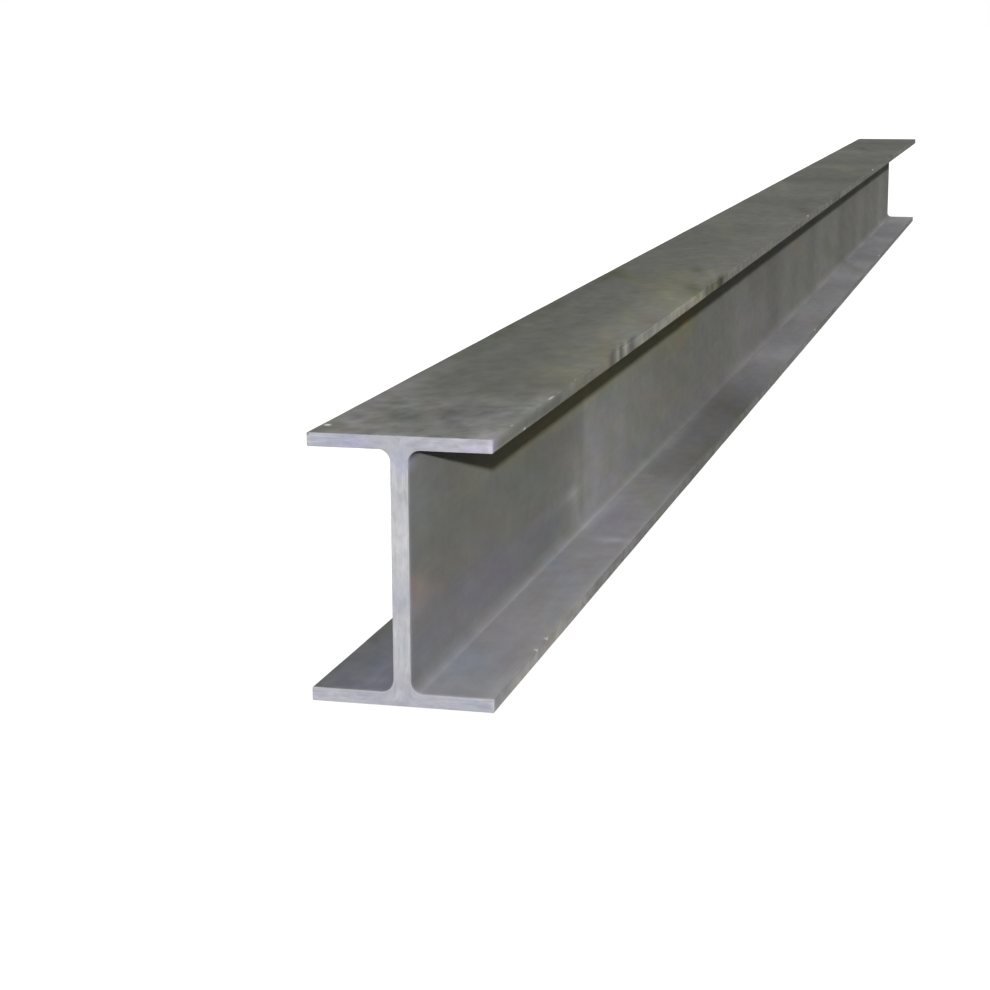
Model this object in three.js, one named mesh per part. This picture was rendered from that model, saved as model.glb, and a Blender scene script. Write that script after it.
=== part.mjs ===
// Steel H-beam: one hot-rolled length with parallel flanges, sawn square at both ends.
// Millimetres, +Z up. The beam lies along Y on its lower flange. The origin is on its underside,
// midway along it and midway across it.

import * as THREE from 'three';

// Rolled section, in the XZ plane
const DEPTH = 290; // over both flanges
const FLANGE_WIDTH = 200;
const FLANGE_THICKNESS = 15;
const WEB_THICKNESS = 19.5;
const ROOT_RADIUS = 13; // fillet where the web runs into a flange
const TOE_RADIUS = 1.2; // rolled round on both edges of each flange toe

// Stock length, along Y
const LENGTH = 6000;
const END_CHAMFER = 0.5; // burr taken off all round each sawn end

const ARC_SEGMENTS = 8; // facets in each quarter round
const QUARTER_TURN = Math.PI / 2;

// The twelve corners of the section, anticlockwise, about the middle of the web.
function sectionCorners() {
  const toe = FLANGE_WIDTH / 2;
  const webFace = WEB_THICKNESS / 2;
  const outerFace = DEPTH / 2;
  const innerFace = outerFace - FLANGE_THICKNESS;

  const lowerRight = [
    { x: toe, z: -outerFace, radius: TOE_RADIUS },
    { x: toe, z: -innerFace, radius: TOE_RADIUS },
    { x: webFace, z: -innerFace, radius: ROOT_RADIUS },
  ];
  const mirrored = (corners, signX, signZ) =>
    corners.map(({ x, z, radius }) => ({ x: x * signX, z: z * signZ, radius }));

  const right = [...lowerRight, ...mirrored(lowerRight, 1, -1).reverse()];
  return [...right, ...mirrored(right, -1, 1).reverse()];
}

// A closed shape through the corners, each one rounded to its own radius. A left turn is an
// outside corner and a right turn is an inside one. The arcs are joined by straight lines.
function roundedShape(corners) {
  const shape = new THREE.Shape();
  corners.forEach(({ x, z, radius }, i) => {
    const before = corners.at(i - 1);
    const after = corners[(i + 1) % corners.length];
    const corner = new THREE.Vector2(x, z);
    const along = new THREE.Vector2(x - before.x, z - before.z).normalize();
    const away = new THREE.Vector2(after.x - x, after.z - z).normalize();
    const side = Math.sign(along.cross(away));
    const centre = corner.clone().addScaledVector(along, -radius).addScaledVector(away, radius);
    const start = along.angle() - side * QUARTER_TURN;
    shape.absarc(centre.x, centre.y, radius, start, start + side * QUARTER_TURN, side < 0);
  });
  shape.closePath();
  return shape;
}

// The section drawn out along the beam's length, with a chamfer round each end.
function rolledLength(shape) {
  const geometry = new THREE.ExtrudeGeometry(shape, {
    depth: LENGTH - 2 * END_CHAMFER,
    curveSegments: ARC_SEGMENTS / 2, // an arc gets two facets for each of these
    bevelEnabled: END_CHAMFER > 0,
    bevelThickness: END_CHAMFER,
    bevelSize: END_CHAMFER,
    bevelOffset: -END_CHAMFER,
    bevelSegments: 1,
  });
  return geometry.center();
}

const steel = new THREE.MeshStandardMaterial({
  name: 'mill_finish_steel',
  color: 0x74767a,
  roughness: 0.55,
  metalness: 0.75,
});

const beam = new THREE.Mesh(rolledLength(roundedShape(sectionCorners())), steel);
beam.name = 'h_beam';
beam.rotation.x = QUARTER_TURN; // the drawn length, along the geometry's own Z, comes to lie along Y
beam.position.z = DEPTH / 2;

const model = new THREE.Group();
model.name = 'steel_h_beam';
model.add(beam);

export default model;
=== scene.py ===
"""A hot-rolled steel H-beam, dressed in mill scale with sawn ends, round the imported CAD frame.

Metres, +Z up. The beam lies along Y, and its near end faces -Y.
"""

import math
from collections import namedtuple
from functools import reduce

import bpy
import numpy as np
from mathutils import Matrix, Vector


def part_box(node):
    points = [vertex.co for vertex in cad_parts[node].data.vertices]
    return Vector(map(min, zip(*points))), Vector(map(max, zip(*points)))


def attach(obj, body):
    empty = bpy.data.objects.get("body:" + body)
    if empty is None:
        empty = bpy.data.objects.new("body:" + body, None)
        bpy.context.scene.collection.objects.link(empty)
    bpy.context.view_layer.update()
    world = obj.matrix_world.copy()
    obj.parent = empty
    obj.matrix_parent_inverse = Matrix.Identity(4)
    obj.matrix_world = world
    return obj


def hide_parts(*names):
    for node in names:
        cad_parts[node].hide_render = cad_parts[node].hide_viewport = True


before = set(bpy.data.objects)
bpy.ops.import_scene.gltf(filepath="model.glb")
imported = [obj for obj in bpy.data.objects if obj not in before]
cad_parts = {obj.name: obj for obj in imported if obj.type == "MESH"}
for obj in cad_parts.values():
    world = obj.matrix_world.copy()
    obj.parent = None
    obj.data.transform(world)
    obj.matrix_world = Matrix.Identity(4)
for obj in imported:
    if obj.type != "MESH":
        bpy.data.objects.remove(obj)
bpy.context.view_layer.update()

# -------------------------------- the beam, from the CAD frame
LOW, HIGH = (Vector(corner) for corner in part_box("h_beam"))
NEAR_END, FAR_END = LOW.y, HIGH.y
TOE_X = HIGH.x
FLANGE_THICKNESS = 0.015
WEB_THICKNESS = 0.0195
ROOT_RADIUS = 0.013
TOE_RADIUS = 0.0012
CHAMFER = 0.0005
WEB_FACE = WEB_THICKNESS / 2
INNER_LOW = LOW.z + FLANGE_THICKNESS
INNER_HIGH = HIGH.z - FLANGE_THICKNESS
QUARTER = math.pi / 2

# -------------------------------- camera and light
CAMERA_FROM_NEAR_END = Vector((0.6619, -2.1595, 0.7049))
CAMERA_RIGHT = Vector((0.96827, 0.24985, -0.00535))
CAMERA_FORWARD = Vector((-0.24552, 0.94703, -0.20701))
CAMERA_LENS = 81.24
CAMERA_SENSOR = 36.0
CAMERA_NEAREST, CAMERA_FARTHEST = 0.05, 1000.0

# A lamp as far off as the sun: where its light comes from, its strength, and its width in degrees.
Lamp = namedtuple("Lamp", "name source strength width")
LAMPS = (
    Lamp("key", (0.243, -0.941, 0.2413), 4.7, 1.2),
    Lamp("fill", (-0.55, 0.60, 0.58), 0.55, 20),
    Lamp("back", (-0.86, 0.50, 0.08), 1.1, 5),  # low, for the faces that look away from the key
)
SKY_LOW, SKY_HIGH = (0.052, 0.050, 0.038), (0.98, 0.98, 0.95)
SKY_GATHER = 3.0  # how closely the sky's light gathers overhead

FLOOR_SIZE = 400.0
FLOOR_DROP = 0.0005
FLOOR_COLOUR = 0.50
FLOOR_GLOW = 0.72
FLOOR_BOUNCE = 0.06


def add_camera():
    data = bpy.data.cameras.new("camera")
    data.lens = CAMERA_LENS
    data.sensor_width = CAMERA_SENSOR
    data.clip_start, data.clip_end = CAMERA_NEAREST, CAMERA_FARTHEST
    camera = bpy.data.objects.new("camera", data)
    bpy.context.collection.objects.link(camera)
    right = CAMERA_RIGHT.normalized()
    back = -CAMERA_FORWARD.normalized()
    up = back.cross(right).normalized()
    right = up.cross(back)
    turn = Matrix((right, up, back)).transposed().to_4x4()
    place = Matrix.Translation(Vector((0, NEAR_END, 0)) + CAMERA_FROM_NEAR_END)
    camera.matrix_world = place @ turn
    bpy.context.scene.camera = camera


def add_lamp(lamp):
    data = bpy.data.lights.new(lamp.name, "SUN")
    data.energy = lamp.strength
    data.angle = math.radians(lamp.width)
    sun = bpy.data.objects.new(lamp.name, data)
    sun.rotation_mode = "QUATERNION"
    sun.rotation_quaternion = Vector(lamp.source).to_track_quat("Z", "Y")
    bpy.context.collection.objects.link(sun)


# -------------------------------- node trees
WHITE = (1.0, 1.0, 1.0)

# Noise in a material: the size of its lumps along X, Y and Z, its detail, how much it wanders, how
# far it swings the tone, and how high it lifts the surface.
Noise = namedtuple("Noise", "sizes detail wander swing height", defaults=(0.0, 0.0, 0.0))
NOISE_REACH = 0.25  # how far noise mostly strays from 0.5
MIX_A, MIX_B, MIX_RESULT = 6, 7, 2  # the colour sockets of a mix node


class Tree:
    """A node tree with short calls for the nodes used here."""

    def __init__(self, owner):
        owner.use_nodes = True
        self.nodes = owner.node_tree.nodes
        self.links = owner.node_tree.links
        self.nodes.clear()

    def add(self, kind, inputs=None, **settings):
        """A new node. An input is another node's socket or a plain value."""
        node = self.nodes.new(kind)
        for key, value in settings.items():
            setattr(node, key, value)
        for key, value in (inputs or {}).items():
            if isinstance(value, bpy.types.NodeSocket):
                self.links.new(value, node.inputs[key])
            else:
                node.inputs[key].default_value = value
        return node

    def math(self, operation, a, b=0.0, c=0.0):
        return self.add("ShaderNodeMath", {0: a, 1: b, 2: c}, operation=operation).outputs[0]

    def vector(self, operation, a, b):
        return self.add("ShaderNodeVectorMath", {0: a, 1: b}, operation=operation).outputs[0]

    def product(self, *values):
        return reduce(lambda a, b: self.math("MULTIPLY", a, b), values)

    def total(self, *values):
        return reduce(lambda a, b: self.math("ADD", a, b), values)

    def one_plus(self, value, amount):
        """1 where the value is 0, and more by the amount where it is 1."""
        return self.math("MULTIPLY_ADD", value, amount, 1.0)

    def rise(self, value, start, end):
        """0 up to start, 1 from end on, and smooth between them."""
        inputs = {"Value": value, "From Min": start, "From Max": end}
        kind = "ShaderNodeMapRange"
        return self.add(kind, inputs, interpolation_type="SMOOTHSTEP").outputs[0]

    def fall(self, value, start, end):
        """1 up to start, 0 from end on, and smooth between them."""
        return self.math("SUBTRACT", 1.0, self.rise(value, start, end))

    def swing(self, value, amount):
        """A noise value turned into a factor about 1, up to about amount more or less."""
        slope = amount / NOISE_REACH
        return self.math("MULTIPLY_ADD", value, slope, 1 - slope / 2)

    def drift(self, value, width):
        """A noise value, from 0 to 1, spread over this width about 0."""
        return self.math("MULTIPLY_ADD", value, width, -width / 2)

    def mix(self, factor, a, b):
        """Colour a where factor is 0 and colour b where it is 1."""
        a, b = (c if isinstance(c, bpy.types.NodeSocket) else (*c, 1.0) for c in (a, b))
        inputs = {0: factor, MIX_A: a, MIX_B: b}
        return self.add("ShaderNodeMix", inputs, data_type="RGBA").outputs[MIX_RESULT]

    def scaled(self, colour, factor):
        inputs = {0: colour, "Scale": factor}
        return self.add("ShaderNodeVectorMath", inputs, operation="SCALE").outputs[0]

    def tinted(self, *colours):
        return reduce(lambda a, b: self.vector("MULTIPLY", a, b), colours)

    def axes(self, place):
        split = self.add("ShaderNodeSeparateXYZ", {0: place})
        return [split.outputs[axis] for axis in "XYZ"]

    def leaning(self, place, lean):
        """A place that drifts in X and Z as Y grows, so that noise on it leans over."""
        along = self.axes(place)[1]
        return self.vector("ADD", place, self.scaled((lean, 0.0, lean), along))

    def noise(self, place, noise):
        """Smooth noise about 0.5. The place is counted in lumps along each axis."""
        inputs = {
            "Vector": self.vector("MULTIPLY", place, [1 / size for size in noise.sizes]),
            "Scale": 1.0,
            "Detail": noise.detail,
            "Distortion": noise.wander,
        }
        return self.add("ShaderNodeTexNoise", inputs).outputs[0]

    def attribute(self, name, output="Fac"):
        return self.add("ShaderNodeAttribute", attribute_name=name).outputs[output]

    def place(self, kind="Object"):
        return self.add("ShaderNodeTexCoord").outputs[kind]

    def seen(self):
        """1 for rays that show the background: camera, glossy and transmission."""
        path = self.add("ShaderNodeLightPath")
        glossy = self.math("MAXIMUM", path.outputs["Is Camera Ray"], path.outputs["Is Glossy Ray"])
        return self.math("MAXIMUM", glossy, path.outputs["Is Transmission Ray"])

    def show(self, shader, kind="ShaderNodeOutputMaterial"):
        self.add(kind, {"Surface": shader.outputs[0]})

    def show_steel(self, height, strength, depth, inputs):
        """Ends the tree in a principled shader, embossed by a height of up to a depth."""
        emboss = {"Strength": strength, "Distance": depth, "Height": height}
        normal = self.add("ShaderNodeBump", emboss).outputs[0]
        self.show(self.add("ShaderNodeBsdfPrincipled", inputs | {"Normal": normal}))


def grey(level):
    return (level, level, level, 1.0)


def light_world():
    """White behind the object, and a soft sky that is brighter overhead than at the horizon."""
    world = bpy.data.worlds.new("studio")
    bpy.context.scene.world = world
    tree = Tree(world)
    height = tree.axes(tree.place("Generated"))[2]
    overhead = tree.math("POWER", tree.math("MAXIMUM", height, 0.0), SKY_GATHER)
    colour = tree.mix(tree.seen(), tree.mix(overhead, SKY_LOW, SKY_HIGH), WHITE)
    tree.show(tree.add("ShaderNodeBackground", {"Color": colour}), "ShaderNodeOutputWorld")


def floor_material():
    """White with the object's soft shadow where it is seen, dark where it would bounce light."""
    material = bpy.data.materials.new("floor")
    tree = Tree(material)
    lit = tree.add("ShaderNodeBsdfDiffuse", {"Color": grey(FLOOR_COLOUR)})
    glow = tree.add("ShaderNodeEmission", {"Color": grey(1.0), "Strength": FLOOR_GLOW})
    shown = tree.add("ShaderNodeAddShader", {0: lit.outputs[0], 1: glow.outputs[0]})
    bounce = tree.add("ShaderNodeBsdfDiffuse", {"Color": grey(FLOOR_BOUNCE)})
    shaders = {0: tree.seen(), 1: bounce.outputs[0], 2: shown.outputs[0]}
    tree.show(tree.add("ShaderNodeMixShader", shaders))
    return material


def add_floor():
    half = FLOOR_SIZE / 2
    z = LOW.z - FLOOR_DROP
    mesh = bpy.data.meshes.new("floor")
    corners = [(-half, -half, z), (half, -half, z), (half, half, z), (-half, half, z)]
    mesh.from_pydata(corners, [], [(0, 1, 2, 3)])
    mesh.materials.append(floor_material())
    floor = bpy.data.objects.new("floor", mesh)
    bpy.context.collection.objects.link(floor)


# -------------------------------- the outline of the section
TOE_SEGMENTS, ROOT_SEGMENTS = 3, 10
FIRST_STEP = 0.0015  # between vertices, next to an edge

# The scale of a face: the share of light it gives back; how warm it is, from blue at -1 to olive
# at 1; how red, from green at -1 to pink at 1; and how blotched. Then how fast the steps between
# its vertices grow away from an edge, and their most. Some faces' levels and warmth are painted
# light: the top is painted darker and the lower right flange lighter, a painted reflection of the
# dark and the bright surroundings that they mirror, and the underside of the upper right flange is
# painted olive, the colour of the shade on its root fillet.
Face = namedtuple("Face", "level warmer redder blotched growth most", defaults=(2.6, 0.034))
# The faces in the order that the outline meets them, anticlockwise seen from the near end.
FACES = {
    "low_toe_right": Face(0.37, 0.05, 0.1, 0.5, 1.6, 0.01),
    # painted reflection: lighter than the top's scale
    "low_inner_right": Face(0.37, -0.2, 0.1, 0.2, 1.6, 0.009),
    "web_right": Face(0.245, 0.33, -0.05, 0.18, 1.6, 0.0085),
    # painted shade: olive, the colour of the shadow band on its root fillet
    "up_inner_right": Face(0.18, 1.5, 0.25, 0.2),
    "up_toe_right": Face(0.27, 0.34, 0, 0.5, 1.6, 0.01),
    # painted reflection: darker than the lower right flange's scale
    "top": Face(0.1195, 0.46, -0.17, 0.25, 1.6, 0.01),
    "up_toe_left": Face(0.2, 0.2, 0, 0.3),
    "up_inner_left": Face(0.19, 0.2, 0.1, 0.3),
    "web_left": Face(0.2, 0.2, 0, 0.3),
    "low_inner_left": Face(0.1745, 0, 0, 0.5, 2, 0.014),
    "low_toe_left": Face(0.22, 0.1, 0.1, 0.3),
    "bottom": Face(0.16, 0.3, 0.1, 0.35),
}
FACE_NAMES = list(FACES)

# places, normals: across the beam. distance: from the start, round the outline. face: the face
# that a point is on, or the next one where it is on an arc. turn: how much of the arc before that
# face is behind it. toe, root: 1 on a rounded toe edge or in a root fillet.
Outline = namedtuple("Outline", "places normals distance face turn toe root length")


def graded(length, growth, most):
    """Distances along a straight run, close together near both of its ends."""
    steps, step = [], FIRST_STEP
    while 2 * (sum(steps) + step) < length - step and step < most:
        steps.append(step)
        step *= growth
    middle = length - 2 * sum(steps)
    count = max(1, round(middle / min(step, most)))
    steps = steps + [middle / count] * count + steps[::-1]
    return np.cumsum(steps)[:-1]


def section_corners():
    """The corners of the section and the radius of each, from the lower right toe on."""
    right = [
        (TOE_X, LOW.z, TOE_RADIUS),
        (TOE_X, INNER_LOW, TOE_RADIUS),
        (WEB_FACE, INNER_LOW, ROOT_RADIUS),
        (WEB_FACE, INNER_HIGH, ROOT_RADIUS),
        (TOE_X, INNER_HIGH, TOE_RADIUS),
        (TOE_X, HIGH.z, TOE_RADIUS),
    ]
    return right + [(-x, z, radius) for x, z, radius in reversed(right)]


def trace_outline():
    corners = section_corners()
    points = []
    for i, (x, z, radius) in enumerate(corners):
        surface = FACES[FACE_NAMES[i]]
        following = corners[(i + 1) % len(corners)]
        here, before, after = (np.array(c[:2]) for c in ((x, z), corners[i - 1], following))
        along = (here - before) / np.linalg.norm(here - before)
        away = (after - here) / np.linalg.norm(after - here)
        side = np.sign(along[0] * away[1] - along[1] * away[0])
        centre = here - along * radius + away * radius
        segments = TOE_SEGMENTS if side > 0 else ROOT_SEGMENTS
        start = math.atan2(along[1], along[0]) - side * QUARTER
        for k in range(segments + 1):
            angle = start + side * QUARTER * k / segments
            ray = np.array((math.cos(angle), math.sin(angle)))
            arc = (k / segments, side > 0, side < 0)
            points.append((*(centre + radius * ray), *(ray * side), i, *arc))
        run = np.linalg.norm(after - here) - radius - following[2]
        for step in graded(run, surface.growth, surface.most):
            place = here + away * (radius + step)
            points.append((*place, away[1], -away[0], i, 1, False, False))
    across, up, out_across, out_up, face, turn, toe, root = np.array(points, dtype=float).T
    places = np.column_stack((across, up))
    normals = np.column_stack((out_across, out_up))
    steps = np.linalg.norm(np.roll(places, -1, axis=0) - places, axis=1)
    distance = np.concatenate(([0.0], np.cumsum(steps)[:-1]))
    return Outline(places, normals, distance, face.astype(int), turn, toe, root, steps.sum())


OUTLINE = trace_outline()


def round_outline(x, z):
    """The distance round the outline to the point of it that is nearest to (x, z)."""
    step = np.roll(OUTLINE.places, -1, axis=0) - OUTLINE.places
    length = np.linalg.norm(step, axis=1)
    share = ((np.array((x, z)) - OUTLINE.places) * step).sum(axis=1) / length**2
    share = np.clip(share, 0, 1)
    gap = np.linalg.norm(OUTLINE.places + step * share[:, None] - (x, z), axis=1)
    nearest = np.argmin(gap)
    return OUTLINE.distance[nearest] + share[nearest] * length[nearest]


# -------------------------------- marks on the surface
# Distances along the beam are from the near end.
# A nick in an edge: where it is, its width round the outline, its length along the edge, and its
# depth.
Nick = namedtuple("Nick", "x z along width length depth")
NICKS = (
    Nick(TOE_X - 0.0015, HIGH.z, 0.086, 0.0019, 0.012, 0.0003),
    Nick(TOE_X, INNER_HIGH + 0.002, 0.137, 0.0022, 0.013, 0.00045),
    Nick(TOE_X - 0.0012, HIGH.z, 0.268, 0.0026, 0.042, 0.00033),
    Nick(TOE_X - 0.003, HIGH.z, 0.402, 0.0018, 0.018, 0.00027),
    Nick(TOE_X, HIGH.z, 2.74, 0.003, 0.011, 0.0007),
    Nick(TOE_X, HIGH.z, 4.31, 0.003, 0.015, 0.0008),
    Nick(TOE_X - 0.0014, INNER_LOW, 0.194, 0.0028, 0.008, 0.0007),
    Nick(TOE_X - 0.0014, INNER_LOW, 0.243, 0.0028, 0.009, 0.0007),
    Nick(TOE_X, INNER_LOW, 2.93, 0.003, 0.01, 0.0007),
    Nick(TOE_X, INNER_LOW, 4.62, 0.003, 0.013, 0.0008),
    Nick(-TOE_X + 0.007, HIGH.z, 0.047, 0.0036, 0.013, 0.0005),
    Nick(-TOE_X, HIGH.z, 2.47, 0.003, 0.01, 0.0006),
    Nick(-TOE_X, HIGH.z, 3.38, 0.003, 0.013, 0.0008),
    Nick(-TOE_X, INNER_LOW, 2.21, 0.003, 0.011, 0.0006),
    Nick(-TOE_X, LOW.z, 4.86, 0.003, 0.012, 0.0007),
)
NICK_RINGS = 7  # rings of vertices across each nick
BARE_DEPTH = 0.0005  # a nick this deep is bright in its middle

# Strokes across the upper right toe, where the rolls gripped: middle, length along the beam, and
# how much darker or lighter. A dark one is pressed in. Their tone is partly painted light: a dark
# one also holds painted shade of its hollow, and a light one is a painted highlight on the crest
# between.
Stroke = namedtuple("Stroke", "along length lighter")
STROKES = (
    Stroke(0.608, 0.024, -0.4),
    Stroke(0.642, 0.011, 0.44),
    Stroke(0.665, 0.015, -0.46),
    Stroke(0.695, 0.013, 0.46),
    Stroke(0.74, 0.04, -0.46),
    Stroke(1.362, 0.02, -0.3),
    Stroke(1.412, 0.018, -0.26),
    Stroke(1.503, 0.044, -0.46),
    Stroke(3.27, 0.017, -0.34),
    Stroke(3.327, 0.013, -0.32),
    Stroke(3.391, 0.021, -0.4),
    Stroke(4.905, 0.018, -0.34),
    Stroke(4.968, 0.015, -0.3),
)
STROKE_PRESS = 0.0004
STROKE_SHARP = 1.4  # how often the reach of its soft edge goes into a stroke's length
STROKE_LEAN = 5.4  # how fast a stroke runs on along the beam as it crosses the top
STROKE_REACH = 0.010

# A wave of the surface or of its tone: its length along the beam, how much it changes, and how far
# it shifts from face to face.
Wave = namedtuple("Wave", "length amount shift")
DEPTH_WAVES = (Wave(0.46, 0.00016, 1.9), Wave(0.21, 0.00009, 4.1), Wave(0.124, 0.00006, 2.6))


def bump(distance, size):
    """1 at distance 0, falling smoothly to nothing at about twice the size."""
    return np.exp(-((distance / size) ** 2))


def gap_round(x, z):
    """How far each point of the outline is past (x, z), the shorter way round."""
    gap = OUTLINE.distance - round_outline(x, z)
    return (gap + OUTLINE.length / 2) % OUTLINE.length - OUTLINE.length / 2


def nick_shape(nick, along):
    return bump(along - nick.along, nick.length / 2) * bump(gap_round(nick.x, nick.z), nick.width)


def stroke_shape(stroke, along):
    """1 on the stroke. It crosses the toe square, and slants as it runs out on the top."""
    past = gap_round(TOE_X, HIGH.z)
    on_top = np.maximum(past, 0)
    below = np.maximum(-past - FLANGE_THICKNESS, 0)
    gap = along - stroke.along - on_top * STROKE_LEAN
    shape = bump(gap, stroke.length / STROKE_SHARP)
    return shape * bump(on_top, STROKE_REACH) * bump(below, TOE_RADIUS)


def wave_shape(wave, along):
    return np.sin(2 * math.pi * along / wave.length + wave.shift * OUTLINE.face)


def relief(along):
    """How far each point of the outline is pressed in, at distances along the beam in a column."""
    depths = [wave.amount * (1 + wave_shape(wave, along)) / 2 for wave in DEPTH_WAVES]
    for stroke in STROKES:
        depths.append(STROKE_PRESS * max(-stroke.lighter, 0) * stroke_shape(stroke, along))
    for nick in NICKS:
        depths.append(nick.depth * nick_shape(nick, along))
    return sum(depths)


# -------------------------------- tone of the scale, with painted light and shade
# Where a face's level or blotches change along the beam: distance along it and share of its own.
LEVEL_ALONG = {
    "top": ((0, 1.45), (0.2, 1.32), (0.35, 1.05), (0.7, 0.97), (3, 0.97)),
    "low_inner_right": ((0, 0.94), (0.4, 0.95), (1.12, 0.8), (1.22, 0.66), (1.85, 0.44), (2.5, 0.8)),
    "web_right": (
        (0, 1.12), (0.28, 1.12), (0.6, 0.97), (0.74, 1.11), (0.84, 1.16), (0.865, 1.42), (1, 1.41),
        (1.5, 1.01), (2, 0.96),
    ),
    "up_toe_right": (
        (0, 0.99), (0.48, 0.83), (0.6, 0.91), (0.79, 1.22), (1.31, 1.22), (1.36, 0.8),
        (1.45, 0.66), (1.51, 0.44), (1.59, 0.84), (2.4, 0.9),
    ),
    "low_toe_right": (
        (0, 1.36), (0.19, 1.42), (0.4, 1.31), (0.54, 0.97), (0.66, 1.01), (0.74, 0.82), (1.05, 0.87),
        (1.3, 0.67), (1.56, 0.84), (1.62, 0.66), (2.2, 0.78),
    ),
}
BLOTCHES_ALONG = {
    "top": ((0, 4.2), (0.2, 3.8), (0.34, 1.8)),
    "up_toe_right": ((0, 0.8), (0.7, 0.8), (0.84, 1.9)),
    "low_toe_right": ((0, 1.8), (0.4, 1.8), (0.6, 1.7)),
}
TONE_WAVES = (Wave(0.83, 0.07, 1.3), Wave(0.37, 0.05, 2.9), Wave(1.9, 0.06, 0.8))
TONE_WAVES_ALONG = ((1.8, 0.1), (2.6, 1))  # how much of them shows along the beam

# A soft patch: its middle across, on the face's own axis, and along; its size across and along;
# and how much lighter, warmer and redder it is.
Patch = namedtuple("Patch", "across along width length lighter warmer redder", defaults=(0, 0))
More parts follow.
